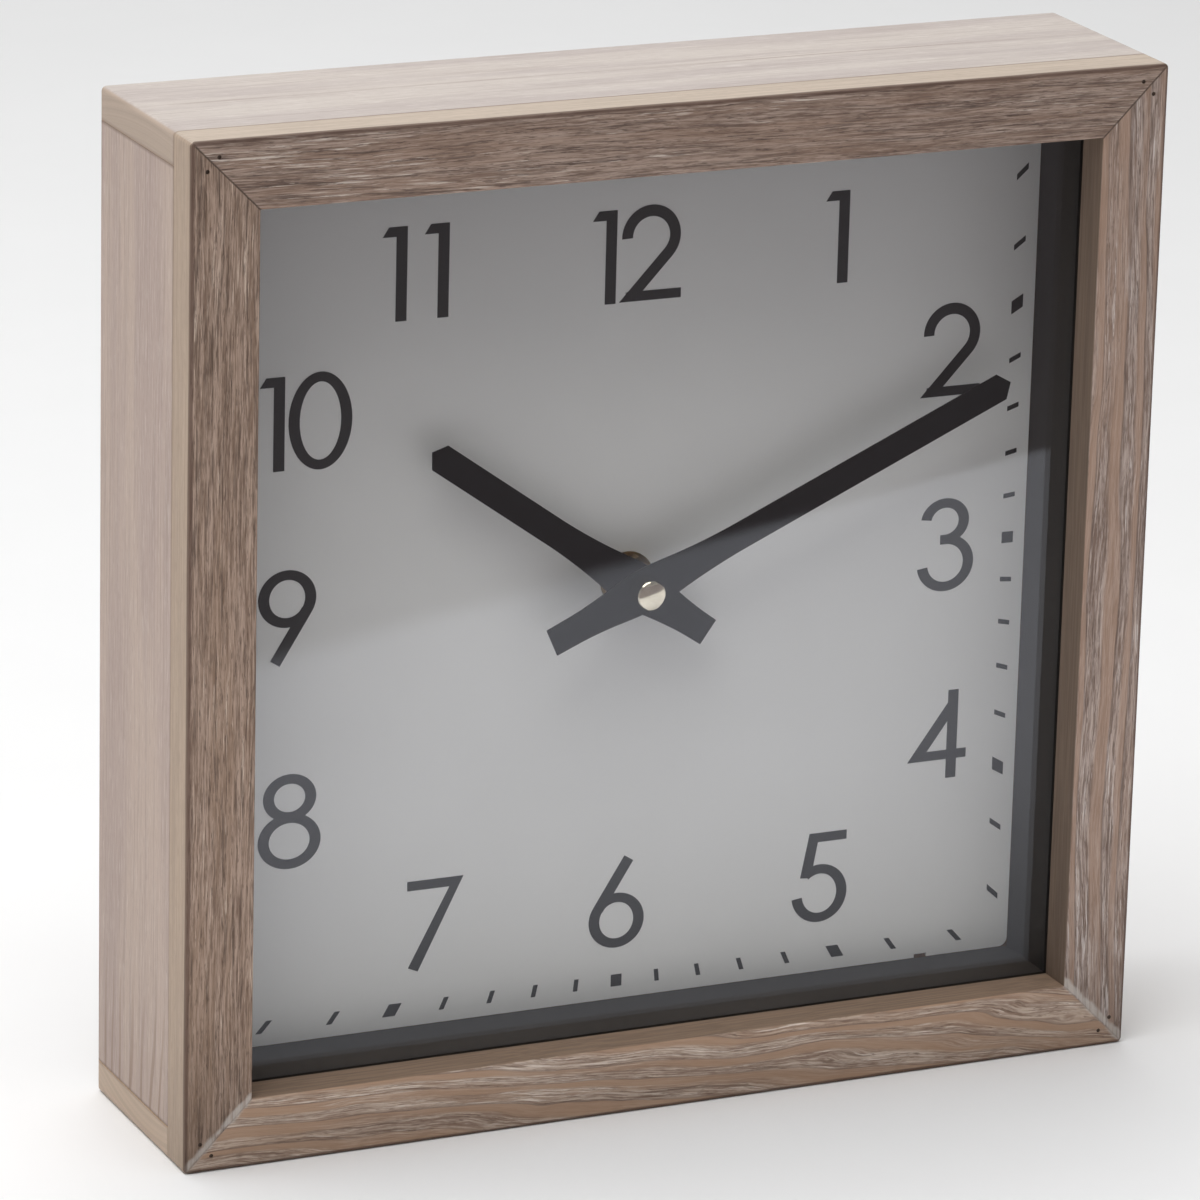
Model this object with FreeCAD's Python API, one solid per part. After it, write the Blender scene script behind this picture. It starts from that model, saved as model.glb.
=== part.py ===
import FreeCAD
import Part
import math
import os

# Square wooden wall clock with a quartz movement, in millimetres.
# Frame: +X to the right, -Y out of the dial towards the viewer, +Z up.
# Origin: middle of the case's footprint, on the surface that the case stands on.
# Helpers take x and z from the middle of the dial and depth from the front of the case.

V = FreeCAD.Vector

# case
CASE_W = 220.0
CASE_D = 52.0
BOARD_T = 7.1
RAIL_W = 15.0
RAIL_T = 9.8
REBATE_DEPTH = 8.7
CORNER_R = 1.1
FRONT_R = 0.8
BACK_R = 1.0
LIP_R = 0.4
SEAM = 0.12
HALF = CASE_W / 2
INNER = HALF - BOARD_T
SIGHT = HALF - RAIL_W
PIN_R = 0.45
PIN_HEAD_DEPTH = 0.2
PIN_END_DEPTH = 20.0
PIN_SPOTS = ((104.0, 106.5), (106.5, 103.7))
BLOCK_SIDE = 12.0

# glass, spacers and dial
FIT = 0.3
GLASS_T = 2.0
GLASS_BACK = REBATE_DEPTH + GLASS_T
DIAL_DEPTH = 28.2
SHEET_T = 0.5
SHEET_HALF = SIGHT - 0.1
SHEET_R = 2.0
NOTCH_X = 73.5
NOTCH_W = 3.0
NOTCH_H = 0.8
DIAL_BOARD_T = 3.0
DIAL_BACK = DIAL_DEPTH + SHEET_T + DIAL_BOARD_T
DIAL_HOLE_R = 4.3
INK_T = 0.08

# minute track and numerals
TRACK_IN = 89.4
TRACK_OUT = 92.1
MINUTE_MARK = 1.0
HOUR_MARK = 2.5
STEM = 2.47
BAR = 2.1
TOP = 10.1
BASE = -10.1
OVER = 0.4

# movement
MOVE_HALF = 28.0
MOVE_FRONT = DIAL_BACK + 0.5
WALL = 1.2
MOVE_T = 16.0
MOVE_BACK = MOVE_FRONT + MOVE_T
CAVITY = MOVE_FRONT + WALL
COVER_FRONT = MOVE_BACK - WALL
DIVIDER_TOP = -10.2
BUSH_R = 4.0
BUSH_BORE = 2.58
BUSH_END = 24.0
NUT_FLATS = 10.0
NUT_T = 2.4
WASHER_R = 6.1
WASHER_T = 0.5
PLATE_AT = 11.6
PLATE_T = 0.8
PIVOT_R = 0.35
PIVOT_HOLE_R = 0.4
PIVOT_DEEP = 0.6
POSTS = ((-24.3, -7.6), (24.3, -7.6), (24.3, 24.3))
POST_R = 1.5

# battery and bay
CELL_R = 7.25
CELL_LEN = 49.2
NUB_R = 2.75
NUB_LEN = 1.3
CELL_Z = DIVIDER_TOP - WALL - 7.8
CELL_DEPTH = CAVITY + CELL_R + 0.3
CELL_RIGHT = 24.7
SLEEVE_T = 0.2

# hands
CLOCK_MINUTES = 10 * 60 + 11
MINUTE_DEG = (CLOCK_MINUTES * 6.0) % 360.0
HOUR_DEG = CLOCK_MINUTES * 0.5
HAND_T = 0.4
MINUTE_LEN = 93.2
MINUTE_TAIL = 23.0
HOUR_LEN = 58.8
HOUR_TAIL = 20.3
BLADE_W = 6.15
TAIL_W = 6.2
HUB_W = 9.7
TIP_LEN = 2.3
HOUR_HAND_DEPTH = 21.9
MINUTE_HAND_DEPTH = 19.0
HUB_R = 3.5
CAP_R = 3.2
CAP_FRONT = 14.8
CAP_DOME = 0.25
CAP_BEVEL = 0.2
TUBE_R = 2.5
TUBE_BORE = 1.68
TUBE_END = 21.2
ARBOR_R = 1.6
ARBOR_TOP_R = 1.4
ARBOR_END = 16.4

# wheels: teeth, module
TOOTH_WHEEL = (0.9, 1.2, 0.36, 0.16, 0.44)
TOOTH_PINION = (0.8, 1.25, 0.34, 0.14, 0.40)
M_MOTION = 0.3
M_HOUR = 0.288
M_TRAIN = 0.25
M_FAST = 0.2
CANNON_T = 12
MOTION_T = 36
MOTION_PINION_T = 10
HOUR_T = 40
KNOB_T = 12
PINION_T = 8
CLUTCH_T = 64
THIRD_T = 60
SECONDS_T = 40
INTERMEDIATE_T = 48


def polar(origin, distance, degrees):
    """Point at a distance and angle from a point, both in the dial's plane."""
    angle = math.radians(degrees)
    return (origin[0] + distance * math.cos(angle), origin[1] + distance * math.sin(angle))


# arbor positions, each set by the centre distance of its mesh
CENTRE = (0.0, 0.0)
MOTION = polar(CENTRE, M_MOTION * (CANNON_T + MOTION_T) / 2, 0.0)
KNOB = polar(MOTION, M_MOTION * (MOTION_T + KNOB_T) / 2, 0.0)
THIRD = polar(CENTRE, M_TRAIN * (PINION_T + CLUTCH_T) / 2, 50.0)
SECONDS = polar(THIRD, M_TRAIN * (PINION_T + THIRD_T) / 2, 150.0)
INTERMEDIATE = polar(SECONDS, M_TRAIN * (PINION_T + SECONDS_T) / 2, 120.0)
ROTOR = polar(INTERMEDIATE, M_FAST * (PINION_T + INTERMEDIATE_T) / 2, 180.0)

# layers behind the movement's front wall: start and end
L_HOUR = (0.5, 1.7)
L_MOTION_PINION = (0.4, 2.2)
L_MOTION = (2.2, 3.2)
L_CANNON = (2.0, 3.4)
L_CLUTCH = (4.4, 5.2)
L_THIRD_PINION = (4.2, 5.4)
L_THIRD = (6.2, 7.0)
L_SECONDS_PINION = (6.0, 7.2)
L_SECONDS = (8.0, 8.8)
L_INTER_PINION = (7.8, 9.0)
L_INTER = (9.8, 10.6)
L_ROTOR_PINION = (9.6, 11.0)
L_MAGNET = (4.5, 8.5)
L_STATOR = (5.5, 7.0)

# hanger
HANGER_HALF = 12.0
HANGER_T = 1.2
HANGER_TOP = INNER + 5.0
EYE_R = 3.5
EYE_Z = INNER - 8.4
SCREW_X = 7.0
SCREW_Z = INNER + 2.8
SCREW_R = 1.2
SCREW_HEAD_R = 2.1
SCREW_LEN = 13.0


def at(depth):
    """Y of a depth behind the front face."""
    return depth - CASE_D / 2


def block(x0, x1, d0, d1, z0, z1):
    """Box between two corners."""
    return Part.makeBox(x1 - x0, d1 - d0, z1 - z0, V(x0, at(d0), HALF + z0))


def rod(spot, radius, d0, d1):
    """Cylinder along the depth."""
    return Part.makeCylinder(radius, d1 - d0, V(spot[0], at(d0), HALF + spot[1]), V(0, 1, 0))


def cone(spot, r0, r1, d0, d1):
    """Cone along the depth, from radius r0 at d0 to r1 at d1."""
    place = V(spot[0], at(d0), HALF + spot[1])
    return Part.makeCone(r0, r1, d1 - d0, place, V(0, 1, 0))


def tube(spot, outer, inner, d0, d1):
    """Ring along the depth."""
    return rod(spot, outer, d0, d1).cut(rod(spot, inner, d0 - 1, d1 + 1))


def prism(points, d0, d1):
    """Closed outline in the dial's plane, given depth."""
    corners = [V(x, at(d0), HALF + z) for x, z in points]
    face = Part.Face(Part.makePolygon(corners + corners[:1]))
    return face.extrude(V(0, d1 - d0, 0))


def union(shapes):
    """One clean solid out of several that touch or overlap."""
    shapes = list(shapes)
    return shapes[0].multiFuse(shapes[1:]).removeSplitter()


def edges_where(shape, test):
    """Edges whose every vertex passes the test."""
    return [e for e in shape.Edges if all(test(v.Point) for v in e.Vertexes)]


def near(a, b):
    return abs(a - b) < 1e-4


def turn(shape, spot, degrees):
    """Turn clockwise, as seen from the front, about an axis through a dial point."""
    shape.rotate(V(spot[0], 0, HALF + spot[1]), V(0, 1, 0), degrees)
    return shape


def save(shape, name):
    shape.exportStep(os.path.join("parts", name + ".step"))


# ---------------------------------------------------------------- case

def case_envelope():
    """The whole case as one softened block, which every board is cut from."""
    body = block(-HALF, HALF, 0, CASE_D, -HALF, HALF)
    corners = edges_where(body, lambda p: True)
    along = [e for e in corners if near(e.BoundBox.YLength, CASE_D)]
    body = body.makeFillet(CORNER_R, along)
    body = body.makeFillet(FRONT_R, edges_where(body, lambda p: near(p.y, at(0))))
    return body.makeFillet(BACK_R, edges_where(body, lambda p: near(p.y, at(CASE_D))))


def board(name):
    """Case boards: the top and bottom ones run the full width."""
    spans = {
        "top_board": (-HALF, HALF, INNER, HALF),
        "bottom_board": (-HALF, HALF, -HALF, -INNER),
        "left_board": (-HALF, -INNER, -INNER, INNER),
        "right_board": (INNER, HALF, -INNER, INNER),
    }
    x0, x1, z0, z1 = spans[name]
    return block(x0, x1, RAIL_T, CASE_D, z0, z1)


def front_rail(quarter):
    """Mitred rail: 0 top, 1 right, 2 bottom, 3 left, with an eased inner edge."""
    outline = ((-HALF, HALF), (HALF, HALF), (SIGHT, SIGHT), (-SIGHT, SIGHT))
    rail = prism(outline, 0, RAIL_T)
    inner = edges_where(rail, lambda p: near(p.y, at(0)) and near(p.z, HALF + SIGHT))
    rail = rail.makeFillet(LIP_R, inner)
    rebate = block(-INNER, INNER, REBATE_DEPTH, RAIL_T + 1, -INNER, INNER)
    return turn(rail.cut(rebate), CENTRE, 90.0 * quarter)


def seam(start, end):
    """Square rod, turned on edge, that eases a joint line between two surface points."""
    line = V(*end) - V(*start)
    rod_face = Part.Face(Part.makePolygon([
        V(SEAM, 0, 0), V(0, SEAM, 0), V(-SEAM, 0, 0), V(0, -SEAM, 0), V(SEAM, 0, 0)]))
    bar = rod_face.extrude(V(0, 0, line.Length))
    bar.Placement = FreeCAD.Placement(V(*start), FreeCAD.Rotation(V(0, 0, 1), line))
    return bar


def joint_lines():
    """Eased joint lines; the two bottom mitres are filled flush, so they have none."""
    front = at(RAIL_T)
    back = at(CASE_D)
    lines = []
    for side in (-HALF, HALF):
        lines.append(seam((side, front, 0), (side, front, CASE_W)))
        lines.append(seam((-HALF, front, HALF + side), (HALF, front, HALF + side)))
        for z in (HALF - INNER, HALF + INNER):
            lines.append(seam((side, front, z), (side, back, z)))
    for side in (-1, 1):
        inner_corner = (side * SIGHT, at(0), HALF + SIGHT)
        lines.append(seam(inner_corner, (side * HALF, at(0), CASE_W)))
    return lines


def pin_spots(sx, sz):
    return [(sx * x, sz * z) for x, z in PIN_SPOTS]


def corner_pins(sx, sz):
    """Two steel pins that cross a mitred corner into the board behind."""
    return [rod(spot, PIN_R, PIN_HEAD_DEPTH, PIN_END_DEPTH) for spot in pin_spots(sx, sz)]


def corner_block(sx, sz):
    """Triangular glue block in a back corner of the case."""
    points = (
        (sx * INNER, sz * INNER),
        (sx * (INNER - BLOCK_SIDE), sz * INNER),
        (sx * INNER, sz * (INNER - BLOCK_SIDE)),
    )
    return prism(points, DIAL_BACK, CASE_D - 3.0)


def make_case():
    envelope = case_envelope()
    corners = {"top_left": (-1, 1), "top_right": (1, 1),
               "bottom_left": (-1, -1), "bottom_right": (1, -1)}
    lines = joint_lines()
    holes = []
    for sx, sz in corners.values():
        holes += [rod(spot, PIN_R, -1, PIN_END_DEPTH) for spot in pin_spots(sx, sz)]
    for name in ("top_board", "bottom_board", "left_board", "right_board"):
        shape = board(name).common(envelope)
        if name in ("top_board", "bottom_board"):
            shape = shape.cut(holes)
        if name == "top_board":
            shape = shape.cut([hanger_pocket()] + [screw_hole(s) for s in (-1, 1)])
        save(shape.cut(lines), name)
    for quarter, name in enumerate(("top", "right", "bottom", "left")):
        save(front_rail(quarter).common(envelope).cut(holes + lines), "front_rail_" + name)
    for name, (sx, sz) in corners.items():
        save(Part.makeCompound(corner_pins(sx, sz)), "rail_pins_" + name)
        save(corner_block(sx, sz), "corner_block_" + name)


# ---------------------------------------------------------------- hanger

def hanger_pocket():
    return block(-HANGER_HALF - 0.05, HANGER_HALF + 0.05, CASE_D - HANGER_T, CASE_D + 1,
                 INNER - 1, HANGER_TOP + 0.05)


def screw_hole(side):
    return rod((side * SCREW_X, SCREW_Z), SCREW_R, CASE_D - SCREW_LEN, CASE_D)


def screw_body(side):
    """Countersunk wood screw whose head is flush with the hanger plate."""
    spot = (side * SCREW_X, SCREW_Z)
    head = cone(spot, SCREW_R, SCREW_HEAD_R, CASE_D - HANGER_T, CASE_D)
    return head.fuse(rod(spot, SCREW_R, CASE_D - SCREW_LEN, CASE_D - HANGER_T))


def hanger_plate():
    """Steel plate with a hanging eye below the top board."""
    top = block(-HANGER_HALF, HANGER_HALF, CASE_D - HANGER_T, CASE_D, EYE_Z, HANGER_TOP)
    lobe = rod((0, EYE_Z), HANGER_HALF, CASE_D - HANGER_T, CASE_D)
    plate = union([top, lobe])
    eye = rod((0, EYE_Z), EYE_R, CASE_D - HANGER_T - 1, CASE_D + 1)
    return plate.cut([eye, screw_body(-1), screw_body(1)])


def make_hanger():
    save(hanger_plate(), "hanger_plate")
    for side, name in ((-1, "left"), (1, "right")):
        x = side * SCREW_X
        slot = block(x - SCREW_HEAD_R, x + SCREW_HEAD_R, CASE_D - 0.6, CASE_D + 1,
                     SCREW_Z - 0.3, SCREW_Z + 0.3)
        save(screw_body(side).cut(slot).removeSplitter(), "hanger_screw_" + name)


# ---------------------------------------------------------------- glass and dial

def make_window():
    pane = INNER - FIT
    save(block(-pane, pane, REBATE_DEPTH, GLASS_BACK, -pane, pane), "glass_pane")
    save(block(-INNER, INNER, GLASS_BACK, DIAL_DEPTH, SIGHT, INNER), "spacer_top")
    save(block(-INNER, INNER, GLASS_BACK, DIAL_DEPTH, -INNER, -SIGHT), "spacer_bottom")
    save(block(-INNER, -SIGHT, GLASS_BACK, DIAL_DEPTH, -SIGHT, SIGHT), "spacer_left")
    save(block(SIGHT, INNER, GLASS_BACK, DIAL_DEPTH, -SIGHT, SIGHT), "spacer_right")


def make_dial():
    half = INNER - FIT
    back = DIAL_DEPTH + SHEET_T
    backing = block(-half, half, back, DIAL_BACK, -half, half)
    save(backing.cut(rod(CENTRE, DIAL_HOLE_R, back - 1, DIAL_BACK + 1)), "dial_board")
    sheet = block(-SHEET_HALF, SHEET_HALF, DIAL_DEPTH, back, -SHEET_HALF, SHEET_HALF)
    corners = [e for e in sheet.Edges if near(e.BoundBox.YLength, SHEET_T)]
    sheet = sheet.makeFillet(SHEET_R, corners)
    notch = block(NOTCH_X - NOTCH_W / 2, NOTCH_X + NOTCH_W / 2, DIAL_DEPTH - 1, back + 1,
                  -SHEET_HALF - 1, -SHEET_HALF + NOTCH_H)
    hole = rod(CENTRE, DIAL_HOLE_R, DIAL_DEPTH - 1, back + 1)
    save(sheet.cut([notch, hole]), "dial_sheet")
    save(Part.makeCompound([track_mark(k) for k in range(60)]), "minute_track")
    save(Part.makeCompound(all_numerals()), "dial_numerals")


def ink(points):
    return prism(points, DIAL_DEPTH - INK_T, DIAL_DEPTH)


def ink_box(x0, x1, z0, z1):
    return ink(((x0, z0), (x1, z0), (x1, z1), (x0, z1)))


def oval(cx, cz, rx, rz):
    """Elliptical disc of ink."""
    if near(rx, rz):
        return rod((cx, cz), rz, DIAL_DEPTH - INK_T, DIAL_DEPTH)
    rim = Part.Ellipse(V(0, 0, 0), max(rx, rz), min(rx, rz)).toShape()
    if rz > rx:
        rim.rotate(V(0, 0, 0), V(0, 0, 1), 90.0)
    rim.rotate(V(0, 0, 0), V(1, 0, 0), 90.0)
    rim.translate(V(cx, at(DIAL_DEPTH - INK_T), HALF + cz))
    return Part.Face(Part.Wire([rim])).extrude(V(0, INK_T, 0))


def band(cx, cz, rx, rz):
    """Closed stroke round an ellipse: upright parts STEM wide, flat parts BAR wide."""
    return oval(cx, cz, rx, rz).cut(oval(cx, cz, rx - STEM, rz - BAR))


def wedge(cx, cz, start, end, reach=20.0):
    """Sector of a plane from one angle round to another, to trim a stroke with."""
    steps = max(2, int(abs(end - start) / 30) + 1)
    points = [(cx, cz)]
    for k in range(steps + 1):
        points.append(polar((cx, cz), reach, start + (end - start) * k / steps))
    corners = [V(x, at(DIAL_DEPTH - 1), HALF + z) for x, z in points]
    return Part.Face(Part.makePolygon(corners + corners[:1])).extrude(V(0, 2, 0))


def track_mark(k):
    """Radial mark clipped to a square band; every fifth one is thick."""
    quarter = round(k * 6 / 90.0)
    lean = math.radians(k * 6 - quarter * 90)
    wide = (HOUR_MARK if k % 5 == 0 else MINUTE_MARK) / 2 / math.cos(lean)
    slope = math.tan(lean)
    mark = ink((
        (TRACK_IN * slope - wide, TRACK_IN),
        (TRACK_IN * slope + wide, TRACK_IN),
        (TRACK_OUT * slope + wide, TRACK_OUT),
        (TRACK_OUT * slope - wide, TRACK_OUT),
    ))
    return turn(mark, CENTRE, 90.0 * quarter)


def digit_0():
    return band(0, 0, 7.1, TOP + OVER)


def digit_1():
    flag = ((-3.1, TOP - BAR), (-1.7, TOP), (0.6, TOP), (0.6, TOP - BAR))
    return union([ink_box(0, STEM, BASE, TOP), ink(flag)])


def digit_2():
    radius = 6.75
    foot = (-7.1, BASE)
    centre = (0.0, TOP + OVER - radius)
    inner = radius - STEM
    away = (centre[0] - foot[0], centre[1] - foot[1])
    reach = math.hypot(*away)
    lean = math.degrees(math.atan2(away[1], away[0]) - math.asin(inner / reach))
    bowl = oval(*centre, radius, radius).cut(oval(*centre, inner, inner))
    bowl = bowl.common(wedge(*centre, lean - 90.0, 182.0))
    near_edge = polar(centre, inner, lean - 90.0)
    far_edge = polar(centre, radius, lean - 90.0)
    run = math.radians(lean)
    toe = (far_edge[0] - (far_edge[1] - BASE) / math.tan(run), BASE)
    stroke = ink((foot, near_edge, far_edge, toe))
    return union([bowl, stroke, ink_box(foot[0] + 1.5, 7.1, BASE, BASE + BAR)])


def digit_3():
    waist = 1.2
    top_rz = (TOP + OVER - waist + BAR / 2) / 2
    low_rz = (waist + BAR / 2 - BASE + OVER) / 2
    top_z = TOP + OVER - top_rz
    low_z = BASE - OVER + low_rz
    upper = band(-0.3, top_z, 5.8, top_rz).common(wedge(-0.3, top_z, -90.0, 172.0))
    lower = band(0.1, low_z, 6.8, low_rz).common(wedge(0.1, low_z, -172.0, 90.0))
    return union([upper, lower, ink_box(-1.3, 0.2, waist - BAR / 2, waist + BAR / 2)])


def digit_4():
    left = (-7.3, -5.7)
    right = 4.6
    slope = (TOP - left[1]) / (right - 0.4 - left[0])
    thick = STEM * math.hypot(1, 1 / slope)
    arm = ink((left, (right - 0.4, TOP), (right, TOP), (right, TOP - (thick - 0.4) * slope),
               (left[0] + thick, left[1])))
    bar_end = left[0] + BAR / slope
    bar = ink((left, (6.9, left[1]), (6.9, left[1] + BAR), (bar_end, left[1] + BAR)))
    return union([ink_box(right - STEM, right, BASE, TOP), arm, bar])


def digit_5():
    centre_z = BASE - OVER + 6.65
    bowl = band(0, centre_z, 6.65, 6.65).common(wedge(0, centre_z, -172.0, 128.0))
    stem = ink((
        (-2.75, TOP), (-0.3, TOP), (-1.75, 2.2), (-2.6, -0.1), (-4.7, 0.1),
    ))
    return union([bowl, stem, ink_box(-1.5, 6.2, TOP - BAR, TOP)])


def digit_6():
    centre = (0.0, BASE - OVER + 6.25)
    lean = 57.9
    side = polar(centre, 5.2, lean + 90.0)
    end = (side[0] + (9.7 - side[1]) / math.tan(math.radians(lean)), 9.7)
    half = STEM / 2
    leg = ink((polar(side, half, lean + 90.0), polar(end, half, lean + 90.0),
               polar(end, half, lean - 90.0), polar(side, half, lean - 90.0)))
    return union([band(*centre, 6.5, 6.25), leg])


def digit_7():
    leg = ink(((6.6, TOP), (-3.6, BASE - 0.3), (-5.85, BASE + 0.65), (3.45, TOP - BAR),
               (3.45, TOP)))
    return union([ink_box(-6.3, 4.5, TOP - BAR, TOP), leg])


def digit_8():
    waist = 0.9
    lap = BAR / 2 - 0.15
    top_rz = (TOP + OVER - waist + lap) / 2
    low_rz = (waist + lap - BASE + OVER) / 2
    upper = band(0, TOP + OVER - top_rz, 6.0, top_rz)
    lower = band(0, BASE - OVER + low_rz, 7.1, low_rz)
    return union([upper, lower])


def digit_9():
    return turn(digit_6(), CENTRE, 180.0)


DIGITS = (digit_0, digit_1, digit_2, digit_3, digit_4,
          digit_5, digit_6, digit_7, digit_8, digit_9)

# numeral: its digits with the place of each on the dial
NUMERALS = (
    (1, -6.7, 70.85), (2, 3.7, 71.0),
    (1, 47.3, 70.85),
    (2, 75.3, 43.5),
    (3, 75.7, -0.2),
    (4, 75.8, -43.65),
    (5, 48.15, -72.95),
    (6, -0.35, -72.7),
    (7, -43.0, -72.3),
    (8, -76.4, -45.35),
    (9, -77.45, -0.55),
    (1, -80.9, 41.6), (0, -70.5, 41.6),
    (1, -54.1, 71.35), (1, -44.7, 71.35),
)


def all_numerals():
    return [DIGITS[digit]().translated(V(x, 0, z)) for digit, x, z in NUMERALS]


# ---------------------------------------------------------------- wheels

def gear(spot, teeth, module, layer, phase, bore, form):
    """Spur wheel whose first tooth points at the phase angle, with a round bore."""
    add, ded, pitch_w, tip_w, root_w = form
    pitch_r = teeth * module / 2
    stations = ((pitch_r - ded * module, -root_w), (pitch_r, -pitch_w),
                (pitch_r + add * module, -tip_w), (pitch_r + add * module, tip_w),
                (pitch_r, pitch_w), (pitch_r - ded * module, root_w))
    points = []
    for k in range(teeth):
        for radius, share in stations:
            points.append(polar(spot, radius, phase + (k + share / 2) * 360.0 / teeth))
    wheel = prism(points, CAVITY + layer[0], CAVITY + layer[1])
    return wheel.cut(rod(spot, bore, CAVITY + layer[0] - 1, CAVITY + layer[1] + 1)) if bore else wheel


def mesh_phase(spot_a, teeth_a, phase_a, spot_b, teeth_b):
    """Phase of wheel b that puts its gaps round the teeth of wheel a."""
    toward = math.degrees(math.atan2(spot_b[1] - spot_a[1], spot_b[0] - spot_a[0]))
    step_a = 360.0 / teeth_a
    lag = (toward - phase_a) % step_a
    return toward + 180.0 + 180.0 / teeth_b + lag * teeth_a / teeth_b


PHASE_CANNON = 0.0
PHASE_MOTION = mesh_phase(CENTRE, CANNON_T, PHASE_CANNON, MOTION, MOTION_T)
PHASE_KNOB = mesh_phase(MOTION, MOTION_T, PHASE_MOTION, KNOB, KNOB_T)
PHASE_HOUR = mesh_phase(MOTION, MOTION_PINION_T, PHASE_MOTION, CENTRE, HOUR_T)
PHASE_INTER = mesh_phase(ROTOR, PINION_T, 0.0, INTERMEDIATE, INTERMEDIATE_T)
PHASE_SECONDS = mesh_phase(INTERMEDIATE, PINION_T, 0.0, SECONDS, SECONDS_T)
PHASE_THIRD = mesh_phase(SECONDS, PINION_T, 0.0, THIRD, THIRD_T)
PHASE_CLUTCH = mesh_phase(THIRD, PINION_T, 0.0, CENTRE, CLUTCH_T)


def layer_rod(spot, radius, start, end):
    return rod(spot, radius, CAVITY + start, CAVITY + end)


def arbor(spot):
    """Plain arbor with a thin pivot at each end."""
    body = layer_rod(spot, 0.5, 0.5, PLATE_AT - 0.15)
    pivots = layer_rod(spot, PIVOT_R, -PIVOT_DEEP + 0.05, PLATE_AT + PLATE_T)
    return [body, pivots]


def compound_wheel(spot, big, small):
    """Wheel and pinion on one arbor: each is (teeth, module, layer, phase)."""
    wheel = gear(spot, *big, 0.0, TOOTH_WHEEL)
    pinion = gear(spot, *small, 0.0, TOOTH_PINION)
    collar = layer_rod(spot, 0.62, min(small[2][0], big[2][0]), max(small[2][1], big[2][1]))
    return union([wheel, pinion, collar] + arbor(spot))


def spoked(wheel, spot, ring_r, hole_r, count, layer):
    """Lighten a wheel with a ring of round holes."""
    holes = []
    for k in range(count):
        holes.append(layer_rod(polar(spot, ring_r, 360.0 * k / count), hole_r,
                               layer[0] - 0.01, layer[1] + 0.01))
    return wheel.cut(holes)


def make_train():
    third = compound_wheel(THIRD, (THIRD_T, M_TRAIN, L_THIRD, PHASE_THIRD),
                           (PINION_T, M_TRAIN, L_THIRD_PINION, 0.0))
    save(spoked(third, THIRD, 4.4, 1.7, 5, L_THIRD), "third_wheel")
    seconds = compound_wheel(SECONDS, (SECONDS_T, M_TRAIN, L_SECONDS, PHASE_SECONDS),
                             (PINION_T, M_TRAIN, L_SECONDS_PINION, 0.0))
    save(spoked(seconds, SECONDS, 2.9, 1.1, 4, L_SECONDS), "seconds_wheel")
    inter = compound_wheel(INTERMEDIATE, (INTERMEDIATE_T, M_FAST, L_INTER, PHASE_INTER),
                           (PINION_T, M_TRAIN, L_INTER_PINION, 0.0))
    save(spoked(inter, INTERMEDIATE, 2.9, 1.0, 4, L_INTER), "intermediate_wheel")
    clutch = gear(CENTRE, CLUTCH_T, M_TRAIN, L_CLUTCH, PHASE_CLUTCH, 1.26, TOOTH_WHEEL)
    save(spoked(clutch, CENTRE, 5.2, 1.5, 6, L_CLUTCH), "clutch_wheel")
    pinion = gear(ROTOR, PINION_T, M_FAST, L_ROTOR_PINION, 0.0, 0.0, TOOTH_PINION)
    save(union([pinion] + arbor(ROTOR)), "rotor_pinion")
    magnet = layer_rod(ROTOR, 2.9, *L_MAGNET).cut(layer_rod(ROTOR, 0.5, *L_MAGNET))
    save(magnet, "rotor_magnet")


def make_motion_work():
    hour = gear(CENTRE, HOUR_T, M_HOUR, L_HOUR, PHASE_HOUR, 0.0, TOOTH_WHEEL)
    sleeve = rod(CENTRE, TUBE_R, TUBE_END, CAVITY + L_HOUR[1])
    bore = rod(CENTRE, TUBE_BORE, TUBE_END - 1, CAVITY + L_HOUR[1] + 1)
    save(union([hour, sleeve]).cut(bore), "hour_wheel")
    wheel = gear(MOTION, MOTION_T, M_MOTION, L_MOTION, PHASE_MOTION, 0.0, TOOTH_WHEEL)
    pinion = gear(MOTION, MOTION_PINION_T, M_HOUR, L_MOTION_PINION, PHASE_MOTION, 0.0,
                  TOOTH_PINION)
    motion = union([wheel, pinion]).cut(layer_rod(MOTION, 0.66, 0, 4))
    save(spoked(motion, MOTION, 3.4, 1.1, 5, L_MOTION), "motion_wheel")
    save(setting_knob(), "setting_knob")


def setting_knob():
    """Knurled thumb knob behind the cover, with its pinion inside."""
    pinion = gear(KNOB, KNOB_T, M_MOTION, L_CANNON, PHASE_KNOB, 0.0, TOOTH_PINION)
    shaft = layer_rod(KNOB, 1.0, 0.5, 15.4)
    pivot = layer_rod(KNOB, PIVOT_R, -PIVOT_DEEP + 0.05, 0.5)
    knob = rod(KNOB, 4.6, MOVE_BACK + 0.5, MOVE_BACK + 3.3)
    flutes = []
    for k in range(18):
        flutes.append(rod(polar(KNOB, 4.9, k * 20.0), 0.55, MOVE_BACK, MOVE_BACK + 4))
    return union([pinion, shaft, pivot, knob.cut(flutes)])


# ---------------------------------------------------------------- hands

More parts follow.
